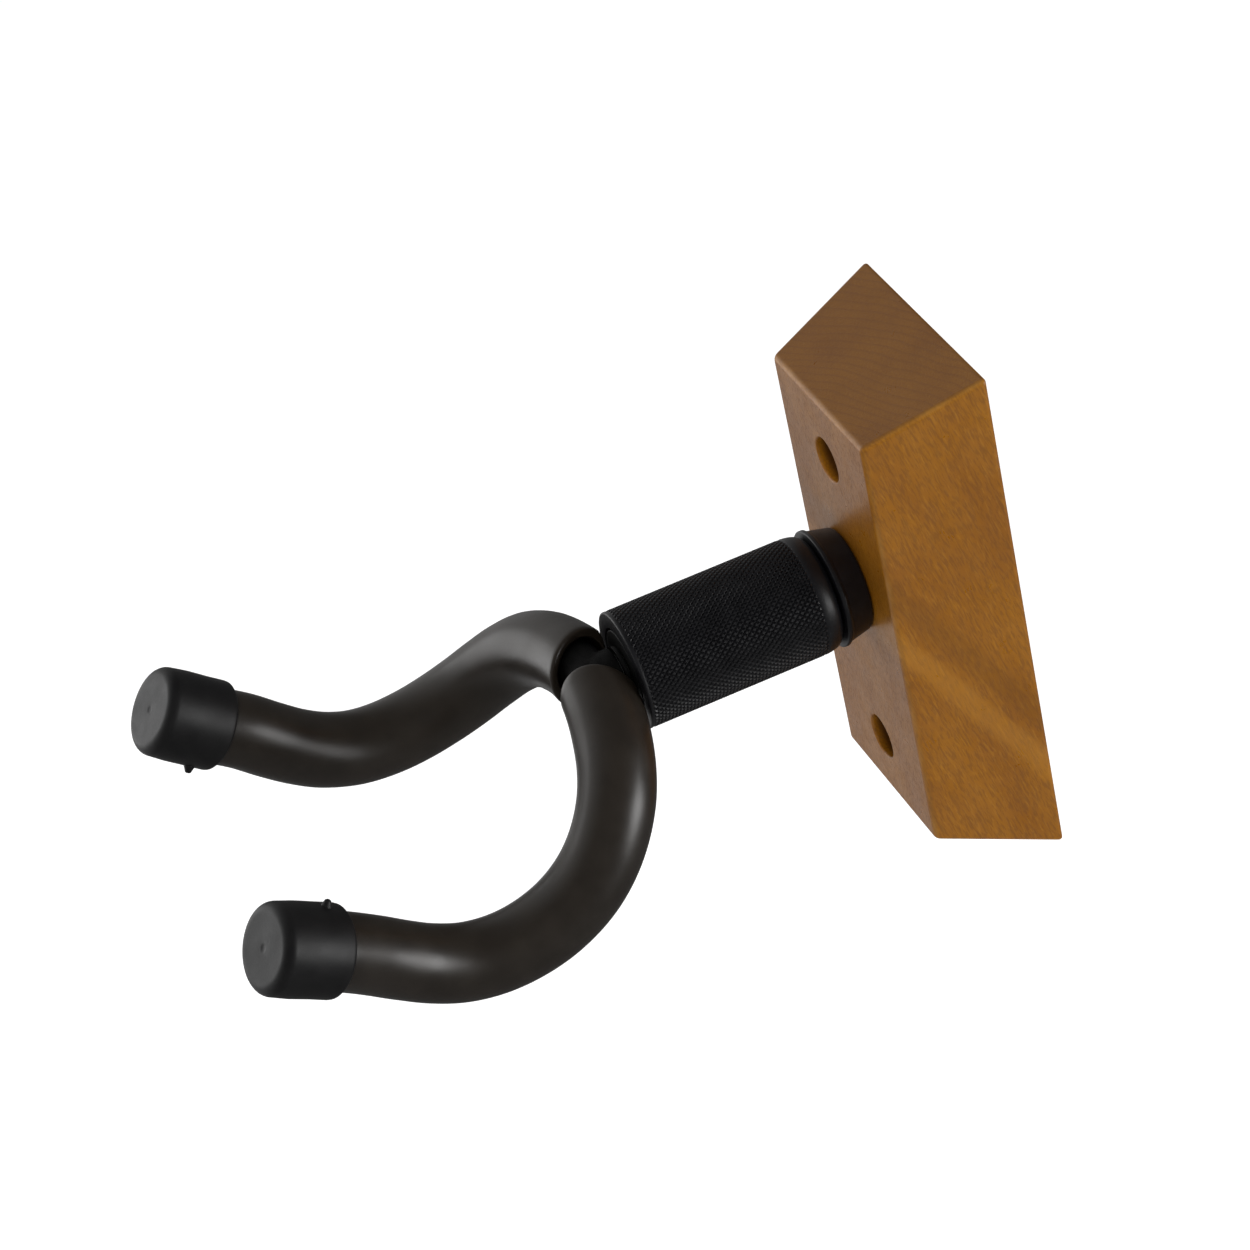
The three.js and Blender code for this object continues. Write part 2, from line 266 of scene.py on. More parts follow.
# ---- materials -----------------------------------------------------------------
class Graph:
    """Small helper for procedural materials in millimetre object coordinates."""

    def __init__(self, name):
        self.mat = bpy.data.materials.new(name)
        self.mat.use_nodes = True
        self.nt = self.mat.node_tree
        self.nt.nodes.clear()
        self.out = self.node("ShaderNodeOutputMaterial")
        self.bsdf = self.node("ShaderNodeBsdfPrincipled")
        self.nt.links.new(self.bsdf.outputs[0], self.out.inputs[0])
        tc = self.node("ShaderNodeTexCoord")
        self.mm = self.vmath("SCALE", tc.outputs["Object"], scale=1000.0)

    def node(self, kind, **props):
        n = self.nt.nodes.new(kind)
        for k, v in props.items():
            setattr(n, k, v)
        return n

    def put(self, socket, value):
        if isinstance(value, bpy.types.NodeSocket):
            self.nt.links.new(value, socket)
        else:
            socket.default_value = value

    def math(self, op, a, b=None, c=None, clamp=False):
        n = self.node("ShaderNodeMath", operation=op, use_clamp=clamp)
        for i, x in enumerate((a, b, c)):
            if x is not None:
                self.put(n.inputs[i], x)
        return n.outputs[0]

    def vmath(self, op, a, b=None, scale=None):
        n = self.node("ShaderNodeVectorMath", operation=op)
        self.put(n.inputs[0], a)
        if b is not None:
            self.put(n.inputs[1], b)
        if scale is not None:
            self.put(n.inputs["Scale"], scale)
        return n.outputs["Value"] if op in ("LENGTH", "DOT_PRODUCT", "DISTANCE") else n.outputs[0]

    def split(self, v):
        n = self.node("ShaderNodeSeparateXYZ")
        self.put(n.inputs[0], v)
        return n.outputs

    def merge(self, x, y, z):
        n = self.node("ShaderNodeCombineXYZ")
        for i, s in enumerate((x, y, z)):
            self.put(n.inputs[i], s)
        return n.outputs[0]

    def noise(self, vector, scale=1.0, detail=2.0, rough=0.5, distortion=0.0):
        n = self.node("ShaderNodeTexNoise")
        self.put(n.inputs["Vector"], vector)
        n.inputs["Scale"].default_value = scale
        n.inputs["Detail"].default_value = detail
        n.inputs["Roughness"].default_value = rough
        n.inputs["Distortion"].default_value = distortion
        return n.outputs[0]

    def remap(self, x, a, b, c, d, smooth=False):
        n = self.node("ShaderNodeMapRange")
        if smooth:
            n.interpolation_type = "SMOOTHSTEP"
        for i, s in enumerate((x, a, b, c, d)):
            self.put(n.inputs[i], s)
        return n.outputs[0]

    def mix(self, f, a, b, blend="MIX"):
        n = self.node("ShaderNodeMix", data_type="RGBA", blend_type=blend)
        self.put(n.inputs[0], f)
        self.put(n.inputs[6], a)
        self.put(n.inputs[7], b)
        return n.outputs[2]

    def bump(self, height, strength, distance):
        n = self.node("ShaderNodeBump")
        n.inputs["Strength"].default_value = strength
        n.inputs["Distance"].default_value = distance
        self.put(n.inputs["Height"], height)
        self.nt.links.new(n.outputs[0], self.bsdf.inputs["Normal"])

    def set(self, **values):
        for k, v in values.items():
            self.put(self.bsdf.inputs[k.replace("_", " ")], v)
        return self.mat


def rgb(r, g, b):
    return (r, g, b, 1.0)


def wood_material():
    g = Graph("varnished_wood_look")
    x, y, z = g.split(g.mm)
    # fibres lean back on the way down
    xf = g.math("MULTIPLY_ADD", z, 0.035, x)
    yf = g.math("MULTIPLY_ADD", z, 0.27, y)
    fibre = g.merge(xf, yf, z)
    drift = g.noise(g.vmath("MULTIPLY", fibre, (0.03, 0.03, 0.012)), detail=2.0)
    # growth rings: the pith lies far off to the right and in front
    dx = g.math("ADD", xf, -46.0)
    dy = g.math("ADD", yf, 88.0)
    dist = g.vmath("LENGTH", g.merge(dx, dy, 0.0))
    dist = g.math("MULTIPLY_ADD", drift, 9.0, dist)
    ringphase = g.math("FRACT", g.math("DIVIDE", dist, 1.9))
    late = g.remap(ringphase, 0.55, 0.98, 0.0, 1.0, True)
    late = g.math("MULTIPLY", late, g.remap(ringphase, 0.98, 1.0, 1.0, 0.0))
    slow = g.noise(g.merge(g.math("DIVIDE", dist, 7.0), 0.0, 0.0), detail=1.0)
    # pores and flecks: short streaks along the fibres
    streak = g.noise(g.vmath("MULTIPLY", fibre, (2.6, 2.6, 0.42)), detail=3.0, rough=0.6)
    pores = g.remap(streak, 0.40, 0.53, 1.0, 0.0, True)
    fleck = g.noise(g.vmath("MULTIPLY", g.vmath("ADD", fibre, (31.0, 7.0, 5.0)), (1.9, 1.9, 0.30)), detail=2.0, rough=0.55)
    light = g.remap(fleck, 0.52, 0.68, 0.0, 1.0, True)
    broad = g.noise(g.vmath("MULTIPLY", fibre, (0.09, 0.09, 0.03)), detail=2.0)
    cloud = g.noise(g.mm, scale=0.045, detail=3.0)
    # one slanting darker figure band across the plate with a light band under it
    band = g.math("ADD", g.math("ADD", g.math("MULTIPLY", z, 0.5365), g.math("MULTIPLY", y, 0.844)), g.math("MULTIPLY_ADD", cloud, 2.4, -1.2))
    dark_band = g.math("MULTIPLY", g.remap(band, -17.0, -14.0, 0.0, 1.0, True), g.remap(band, -12.0, -9.0, 1.0, 0.0, True))
    light_band = g.math("MULTIPLY", g.remap(band, -24.0, -21.0, 0.0, 1.0, True), g.remap(band, -19.0, -17.0, 1.0, 0.0, True))

    # how much of the face is end grain, from how far it stands off the plate's middle
    v = g.math("MULTIPLY", y, -1.0)
    sx = g.math("SUBTRACT", g.math("MULTIPLY_ADD", v, -(BACK_W - FRONT_W) / 2 / PLATE_D, BACK_W / 2), g.math("ABSOLUTE", x))
    sz = g.math("SUBTRACT", g.math("MULTIPLY_ADD", v, -(BACK_H - FRONT_H) / 2 / PLATE_D, BACK_H / 2), g.math("ABSOLUTE", z))
    sy = g.math("SUBTRACT", PLATE_D, v)
    endgrain = g.remap(sz, 0.05, 0.5, 1.0, 0.0, True)

    col = g.mix(g.remap(broad, 0.3, 0.7, 0.0, 1.0, True), rgb(0.242, 0.092, 0.0030), rgb(0.195, 0.069, 0.0024))
    col = g.mix(g.math("MULTIPLY", light, 0.20), col, rgb(0.375, 0.170, 0.014))
    col = g.mix(g.math("MULTIPLY", late, g.math("MULTIPLY_ADD", endgrain, 0.22, 0.16)), col, rgb(0.125, 0.044, 0.0046))
    col = g.mix(g.math("MULTIPLY", pores, g.math("MULTIPLY_ADD", endgrain, -0.15, 0.34)), col, rgb(0.080, 0.028, 0.0035))
    col = g.mix(g.math("MULTIPLY", slow, 0.20), col, rgb(0.150, 0.058, 0.0085))
    col = g.mix(g.math("MULTIPLY", dark_band, 0.34), col, rgb(0.105, 0.038, 0.0036))
    col = g.mix(g.math("MULTIPLY", light_band, 0.24), col, rgb(0.400, 0.180, 0.018))
    # end grain takes more stain
    col = g.mix(g.math("MULTIPLY", endgrain, 0.50), col, rgb(0.086, 0.040, 0.0150))
    # painted highlight: a lighter line along the edges, broken up by noise
    second = g.math("MAXIMUM", g.math("MINIMUM", sx, sz), g.math("MINIMUM", g.math("MAXIMUM", sx, sz), sy))
    edge = g.remap(second, 0.25, 1.15, 1.0, 0.0, True)
    painted_edge_highlight = g.math("MULTIPLY", edge, g.remap(g.noise(g.mm, scale=0.16, detail=2.0), 0.35, 0.65, 0.25, 1.0, True))
    col = g.mix(g.math("MULTIPLY", painted_edge_highlight, 0.40), col, rgb(0.34, 0.165, 0.030))
    # painted shade: the wood colour is darkened inside the holes
    hollow = g.math("MINIMUM", g.math("MINIMUM", sx, sz), g.math("MINIMUM", sy, v))
    painted_hole_shade = g.remap(hollow, 0.5, 2.2, 0.0, 1.0, True)
    col = g.mix(g.math("MULTIPLY", painted_hole_shade, 0.95), col, rgb(0.060, 0.020, 0.0030))
    g.put(g.bsdf.inputs["Base Color"], col)

    rough = g.remap(g.noise(g.mm, scale=0.22, detail=3.0), 0.3, 0.7, 0.27, 0.37)
    rough = g.math("MULTIPLY_ADD", pores, 0.08, rough)
    g.put(g.bsdf.inputs["Roughness"], rough)
    height = g.math("MULTIPLY_ADD", pores, -0.6, g.math("MULTIPLY", g.noise(g.mm, scale=0.12, detail=2.0), 1.2))
    height = g.math("MULTIPLY_ADD", late, 0.15, height)
    g.bump(height, 0.22, 0.00008)
    g.bsdf.inputs["Specular IOR Level"].default_value = 0.30
    return g.mat


def dark_material(name, base, other, r0, r1, level, grain=1.0, bump=0.25, depth=0.00004, metallic=0.0, dust=None, dust_at=(0.60, 0.80)):
    g = Graph(name)
    n1 = g.noise(g.mm, scale=0.17 * grain, detail=3.0)
    n2 = g.noise(g.vmath("ADD", g.mm, (17.0, 3.0, 9.0)), scale=1.7 * grain, detail=3.0, rough=0.6)
    n3 = g.noise(g.mm, scale=6.5 * grain, detail=2.0, rough=0.7)
    col = g.mix(g.remap(n1, 0.3, 0.7, 0.0, 1.0, True), rgb(*base), rgb(*other))
    if dust:
        col = g.mix(g.math("MULTIPLY", g.remap(n2, *dust_at, 0.0, 1.0, True), 0.6), col, rgb(*dust))
    g.put(g.bsdf.inputs["Base Color"], col)
    g.put(g.bsdf.inputs["Roughness"], g.math("ADD", g.remap(n1, 0.25, 0.75, r0, r1), g.remap(n2, 0.2, 0.8, -0.03, 0.03)))
    g.bump(g.math("MULTIPLY_ADD", n3, 0.5, n2), bump, depth)
    g.bsdf.inputs["Specular IOR Level"].default_value = level
    g.bsdf.inputs["Metallic"].default_value = metallic
    return g.mat


def zinc_material():
    g = Graph("zinc_steel_look")
    n1 = g.noise(g.mm, scale=0.35, detail=3.0)
    n2 = g.noise(g.mm, scale=3.0, detail=3.0, rough=0.6)
    col = g.mix(g.remap(n1, 0.3, 0.7, 0.0, 1.0, True), rgb(0.50, 0.51, 0.52), rgb(0.36, 0.36, 0.355))
    g.put(g.bsdf.inputs["Base Color"], col)
    g.put(g.bsdf.inputs["Roughness"], g.remap(n2, 0.25, 0.75, 0.26, 0.44))
    g.bump(n2, 0.2, 0.00003)
    g.bsdf.inputs["Metallic"].default_value = 1.0
    return g.mat


def floor_material():
    g = Graph("pale_floor")
    n1 = g.noise(g.mm, scale=0.0015, detail=2.0)
    g.put(g.bsdf.inputs["Base Color"], g.mix(n1, rgb(0.86, 0.86, 0.86), rgb(0.88, 0.88, 0.88)))
    g.put(g.bsdf.inputs["Roughness"], g.remap(n1, 0.0, 1.0, 0.75, 0.85))
    g.bsdf.inputs["Specular IOR Level"].default_value = 0.1
    g.bsdf.inputs["Emission Color"].default_value = rgb(1.0, 1.0, 1.0)
    g.bsdf.inputs["Emission Strength"].default_value = FLOOR_GLOW
    return g.mat


FLOOR_GLOW = 0.50
WOOD = wood_material()
STEEL = dark_material("black_steel_look", (0.0034, 0.0034, 0.0042), (0.0050, 0.0050, 0.0060), 0.36, 0.46, 0.36, grain=1.6, bump=0.30, depth=0.00003, dust=(0.020, 0.018, 0.017), dust_at=(0.66, 0.82))
WELD = dark_material("black_weld_look", (0.0020, 0.0020, 0.0020), (0.0042, 0.0042, 0.0040), 0.50, 0.62, 0.14, grain=2.5, bump=0.6, depth=0.00010, dust=(0.030, 0.028, 0.027))
NYLON = dark_material("black_nylon_look", (0.0022, 0.0022, 0.0022), (0.0034, 0.0034, 0.0033), 0.50, 0.60, 0.14, grain=1.2, bump=0.2)
TUBING = dark_material("soft_tubing_look", (0.0104, 0.0077, 0.0054), (0.0136, 0.0102, 0.0072), 0.33, 0.41, 0.48, grain=0.9, bump=0.16, depth=0.00004, dust=(0.035, 0.030, 0.025), dust_at=(0.66, 0.82))
RUBBER = dark_material("cap_rubber_look", (0.0036, 0.0035, 0.0038), (0.0054, 0.0052, 0.0054), 0.44, 0.54, 0.28, grain=1.3, bump=0.30, depth=0.00004, dust=(0.035, 0.035, 0.034), dust_at=(0.66, 0.84))
ZINC = zinc_material()


# ---- backplate -----------------------------------------------------------------
def backplate():
    bm = bmesh.new()
    vs = {}
    for sx in (-1, 1):
        for sz in (-1, 1):
            vs[sx, sz, 0] = bm.verts.new((sx * BACK_W / 2, 0.0, sz * BACK_H / 2))
            vs[sx, sz, 1] = bm.verts.new((sx * FRONT_W / 2, -PLATE_D, sz * FRONT_H / 2))
    for d in (0, 1):
        bm.faces.new([vs[-1, -1, d], vs[1, -1, d], vs[1, 1, d], vs[-1, 1, d]])
    for a, b in (((-1, -1), (1, -1)), ((1, -1), (1, 1)), ((1, 1), (-1, 1)), ((-1, 1), (-1, -1))):
        bm.faces.new([vs[*a, 0], vs[*b, 0], vs[*b, 1], vs[*a, 1]])
    bmesh.ops.recalc_face_normals(bm, faces=bm.faces)
    bmesh.ops.bevel(bm, geom=list(bm.edges) + list(bm.verts), offset=1.15, offset_type="OFFSET", segments=5, profile=0.5, affect="EDGES", clamp_overlap=True)
    for v in bm.verts:
        v.co *= 0.001
    me = bpy.data.meshes.new("wood_backplate_detail")
    bm.to_mesh(me)
    bm.free()
    ob = bpy.data.objects.new("wood_backplate_detail", me)
    scene.collection.objects.link(ob)

    def cutter(z, profile):
        v, f = revolve(profile, n=80, z=z, closed=False)
        return build("cutter", v, f)

    stem = [(0, -2.0), (13.2, -2.0)] + [(12.5 + 0.6 * (1 - math.sin(a)), 0.6 * (1 - math.cos(a))) for a in np.linspace(0, math.pi / 2, 5)]
    stem += [(12.5, 11.4), (12.3, 11.85), (12.0, 12.0), (5.0, 12.0), (4.7, 12.3), (4.7, 17.3), (8.2, 17.3), (8.2, PLATE_D - 0.4), (8.6, PLATE_D), (8.6, PLATE_D + 2), (0, PLATE_D + 2)]
    boolean(ob, cutter(STEM_Z, stem))
    for s in (-1, 1):
        hole = [(0, -2.0), (3.6, -2.0), (3.6, 0.0), (3.05, 0.5), (3.05, PLATE_D - 15.3), (3.35, PLATE_D - 15.0), (4.4, PLATE_D - 15.0), (4.65, PLATE_D - 14.75)]
        hole += [(4.65 + 0.55 * (1 - math.cos(a)), PLATE_D - 0.55 + 0.55 * math.sin(a)) for a in np.linspace(0, math.pi / 2, 6)]
        hole += [(5.2, PLATE_D + 2), (0, PLATE_D + 2)]
        boolean(ob, cutter(s * HOLE_Z, hole))
    smooth(ob, 34)
    m = ob.modifiers.new("wn", "WEIGHTED_NORMAL")
    m.keep_sharp, m.weight = True, 80
    return ob


finish_piece(backplate(), WOOD, "wall_plate", "varnished_wood", "wood_backplate")

# ---- collar and neck -------------------------------------------------------------
v, f = revolve(rounded([
    (8.2, 25.35, 0.1), (10.6, 25.35, 0.15), (10.85, 25.75, 0.2), (11.85, 30.2, 0.8), (12.35, 30.75, 0.22),
    (12.35, 31.6, 0.26), (8.2, 31.6, 0.1)], 3), 120)
finish_piece(build("neck_collar_detail", v, f, 40), STEEL, "wall_plate", "black_steel", "neck_collar")


def knurled_neck():
    n, rows, start, end, depth, flat = 60, 24, 36.0, 73.4, 0.36, 0.27
    period, top, m = (end - start) / rows, 12.3, 3 * n
    frac = (0.0, flat, 1 - flat)
    line = lambda i: i // 3 + frac[i % 3]
    last = rows * 2 * 3
    verts = []
    for t in range(last + 1):
        for q in range(m):
            p = q + t
            a, b = line(p), line(q)
            th = math.pi * (a + b) / n
            vv = start + (a - b) * period / 2
            low = p % 3 == 0 or q % 3 == 0
            r = top - (depth if low else 0.0)
            if t in (0, last):
                r = top - depth * (0.9 if low else 0.35)
            verts.append((r * math.cos(th), -vv, r * math.sin(th) + STEM_Z))
    idx = lambda t, q: t * m + q % m
    faces = []
    for q in range(m):
        faces.append((idx(0, q), idx(1, q), idx(0, q + 1)))
        faces.append((idx(last, q), idx(last, q + 1), idx(last - 1, q + 1)))
        for t in range(1, last):
            faces.append((idx(t, q), idx(t + 1, q), idx(t, q + 1), idx(t - 1, q + 1)))
    # the rest of the tube, from the front band round through the bore to the back band
    rest = [(12.08, 73.5), (12.27, 73.66), (12.3, 73.9)]
    rest += [(11.9 + 0.4 * math.cos(a), 74.0 + 0.4 * math.sin(a)) for a in np.linspace(0.15, math.pi / 2, 5)]
    rest += [(9.15, 74.4), (9.0, 74.25), (9.0, 72.8), (6.6, 72.8), (6.6, 62.3), (5.3, 62.3), (5.3, 30.3), (6.6, 30.3), (6.6, 17.6), (7.5, 17.6), (7.9, 18.0), (7.9, 32.0)]
    rest += [(10.7, 32.0), (11.0, 32.1), (11.4, 32.5), (11.75, 33.0), (12.0, 33.7), (12.18, 34.6), (12.28, 35.5), (12.2, 35.85)]
    base = len(verts)
    for r, vv in rest:
        for q in range(m):
            th = math.pi * 2 * line(q) / n
            verts.append((r * math.cos(th), -vv, r * math.sin(th) + STEM_Z))
    shift = 3 * rows
    for q in range(m):
        faces.append((idx(last, q), idx(last, q + 1), base + (q + 1 + shift) % m, base + (q + shift) % m))
        for k in range(len(rest) - 1):
            a, b = base + k * m, base + (k + 1) * m
            faces.append((a + q, b + q, b + (q + 1) % m, a + (q + 1) % m))
        k = base + (len(rest) - 1) * m
        faces.append((k + q, idx(0, q), idx(0, q + 1), k + (q + 1) % m))
    return build("knurled_neck_detail", verts, faces, 22)


finish_piece(knurled_neck(), STEEL, "wall_plate", "black_steel", "knurled_neck")

# ---- bushes and washers ------------------------------------------------------------
TURNED = {
    "front_bush": ([(4.01, 62.6, 0.15), (6.3, 62.6, 0.3), (6.3, 73.1, 0.1), (8.6, 73.1, 0.2), (8.6, 74.4, 0.3), (4.01, 74.4, 0.3)], NYLON, "wall_plate", "black_nylon"),
    "rear_bush": ([(4.01, 17.8, 0.3), (6.3, 17.8, 0.3), (6.3, 30.0, 0.3), (4.01, 30.0, 0.2)], NYLON, "wall_plate", "black_nylon"),
    "rear_washer": ([(4.3, 10.1, 0.15), (11.2, 10.1, 0.35), (11.2, 11.7, 0.1), (4.3, 11.7, 0.1)], ZINC, "wall_plate", "zinc_steel"),
    "thrust_washer": ([(4.25, 74.7, 0.1), (5.5, 74.7, 0.15), (5.5, 75.5, 0.15), (4.25, 75.5, 0.1)], NYLON, "fork", "black_nylon"),
    "lock_nut_insert": ([(4.25, 1.3, 0.25), (5.0, 1.3, 0.12), (5.0, 3.0, 0.1), (4.25, 3.0, 0.15)], NYLON, "fork", "black_nylon"),
}
for name, (profile, look, body, slot) in TURNED.items():
    v, f = revolve(rounded(profile, 3), 80)
    finish_piece(build(name + "_detail", v, f, 40), look, body, slot, name)

# spring washer: a split ring, sprung a little at the cut
n_arc, split = 72, []
sec = rounded([(4.3, 8.0, 0.15), (7.3, 8.0, 0.25), (7.3, 9.7, 0.25), (4.3, 9.7, 0.15)], 2)
for k in range(n_arc + 1):
    th = math.radians(100 + 354 * k / n_arc)
    lift = 0.16 * (k / n_arc - 0.5)
    for r, vv in sec:
        split.append((r * math.cos(th), -(vv + lift), r * math.sin(th) + STEM_Z))
ns = len(sec)
f = [(k * ns + i, (k + 1) * ns + i, (k + 1) * ns + (i + 1) % ns, k * ns + (i + 1) % ns) for k in range(n_arc) for i in range(ns)]
f += [tuple(range(ns)), tuple(n_arc * ns + i for i in reversed(range(ns)))]
finish_piece(build("split_washer_detail", split, f, 40), ZINC, "fork", "zinc_steel", "split_washer")


# lock nut: hexagon with turned chamfers and a rounded crown
def hexagon(th, r, v):
    a = (th + math.pi / 6) % (math.pi / 3) - math.pi / 6
    return min(r, 6.5 / math.cos(a)) if r > 5.6 else r


nut = [(4.25, 3.3), (4.25, 7.3), (4.6, 7.6), (6.35, 7.6), (6.75, 7.45), (7.15, 7.25), (7.506, 6.95), (7.506, 2.4), (7.15, 2.1), (6.7, 1.85), (6.35, 1.75), (6.2, 1.3), (5.9, 1.1), (5.45, 1.1), (5.3, 1.25), (5.3, 3.3)]
v, f = revolve(nut, 96, shape=hexagon, roll=FORK_ROLL)
finish_piece(build("lock_nut_detail", v, f, 24), ZINC, "fork", "zinc_steel", "lock_nut")


# stud: rolled thread at the nut end, plain shank in the bushes
def stud():
    n, pitch, per = 48, 1.25, 5
    prof = [(0.0, 1.6), (3.1, 1.6), (3.3, 1.75)]
    vv = 2.1
    while vv < 16.8:
        prof.append((3.95, vv))
        vv += pitch / per
    prof += [(3.95, 17.2), (3.95, 46.0), (3.95, 76.1), (0.0, 76.1)]

    def thread(th, r, v):
        if r < 3.9 or v > 17.0:
            return r
        ph = (v / pitch - th / TAU) % 1.0
        fade = min(1.0, (v - 1.9) / 0.8, (17.0 - v) / 1.2)
        return 3.95 - 0.62 * fade * (1 - abs(2 * ph - 1)) * 0.9

    v, f = revolve(prof, n, shape=thread, roll=FORK_ROLL, closed=False)
    return build("swivel_stud_detail", v, f, 50)


finish_piece(stud(), ZINC, "fork", "zinc_steel", "swivel_stud")

# ---- fork rod with its weld boss -----------------------------------------------------
sleeve_end = HALF - CAP_WALL - 0.3
rod_end = sleeve_end - 1.5


def fork_rod():
    prof = [(-rod_end, 0.0), (-rod_end, ROD_R - 0.7), (-rod_end + 0.25, ROD_R - 0.2), (-rod_end + 0.7, ROD_R)]
    prof += [(s, ROD_R) for s in np.linspace(-rod_end + 2, rod_end - 2, 120)]
    prof += [(rod_end - 0.7, ROD_R), (rod_end - 0.25, ROD_R - 0.2), (rod_end, ROD_R - 0.7), (rod_end, 0.0)]
    v, f = sweep(prof, 32, closed=False)
    rod = build("fork_rod_detail", place(v), f, 45)

    # boss with an uneven weld bead running round the rod
    def lumpy(th, r, v):
        if v < 78.4 or r < 1.0:
            return r
        p = Vector((math.cos(th) * 1.9, v * 0.55, math.sin(th) * 1.9))
        return r * (1 + 0.045 * noise.noise(p * 1.3) + 0.02 * noise.noise(p * 4.0))

    boss = [(0.0, 77.4), (4.3, 77.4), (4.3, 75.8), (4.95, 75.8), (5.35, 75.95), (5.6, 76.3), (5.6, 78.2), (5.68, 78.7), (5.62, 79.3), (5.45, 80.0), (5.2, 80.8), (4.9, 81.6), (4.5, 82.4), (3.9, 83.2), (3.0, 83.8), (1.5, 84.2), (0.0, 84.3)]
    v, f = revolve(boss, 64, shape=lumpy, roll=FORK_ROLL, closed=False)
    b = build("boss", v, f, 45)
    boolean(rod, b, "UNION")
    smooth(rod, 45)
    return rod


finish_piece(fork_rod(), WELD, "fork", "black_steel", "fork_rod")


# ---- soft tubing ---------------------------------------------------------------------
def sleeve(name, side):
    s1, ro, ri = sleeve_end, SLEEVE_R, SLEEVE_BORE
    s0, front, up = SLEEVE_CUT[name]

    def wobble(s, th, r):
        if r < 7.0:
            return 0.0
        return 0.05 * noise.noise(Vector((math.cos(th) * 1.2, math.sin(th) * 1.2, s * 0.11 + side * 7)))

    def oblique(s, r, f, u):
        fade = min(1.0, max(0.0, 1 - (abs(s) - s0) / 16.0))
        return side * fade * (front * f + up * u) * r / ro

    prof = [(s0, ri + 0.3), (s0, ro - 0.65), (s0 + 0.1, ro - 0.3), (s0 + 0.32, ro - 0.09), (s0 + 0.65, ro)]
    prof += [(s, ro) for s in np.linspace(s0 + 1.4, s1 - 1.6, 90)]
    prof += [(s1 - 0.5, ro), (s1 - 0.15, ro - 0.15), (s1, ro - 0.5), (s1, ri + 0.3), (s1 - 0.3, ri)]
    prof += [(s, ri) for s in np.linspace(s1 - 2, s0 + 2, 60)] + [(s0 + 0.3, ri)]
    v, f = sweep([(side * s, r) for s, r in prof], 44, wobble=wobble, shift=oblique)
    v = np.array(v)
    # pressed flat against the end of the neck, with clearance to swivel
    lim = -(NECK_FRONT + 0.45)
    v[:, 1] = np.minimum(v[:, 1], lim)
    ob = build(name + "_detail", place(v), f, 50)
    hv, hf = revolve([(0, 60.0), (BOSS_R + 0.33, 60.0), (BOSS_R + 0.33, 79.7), (BOSS_R + 0.1, 79.9), (0, 79.9)], 64, closed=False)
    boolean(ob, build("cutter", hv, hf))
    smooth(ob, 50)
    return ob


finish_piece(sleeve("right_sleeve", 1), TUBING, "fork", "soft_tubing", "right_sleeve")
finish_piece(sleeve("left_sleeve", -1), TUBING, "fork", "soft_tubing", "left_sleeve")


# ---- end caps --------------------------------------------------------------------------
NIB = {"right_cap": (-0.26, 0.35, 0.9), "left_cap": (0.6, -0.37, -0.7)}


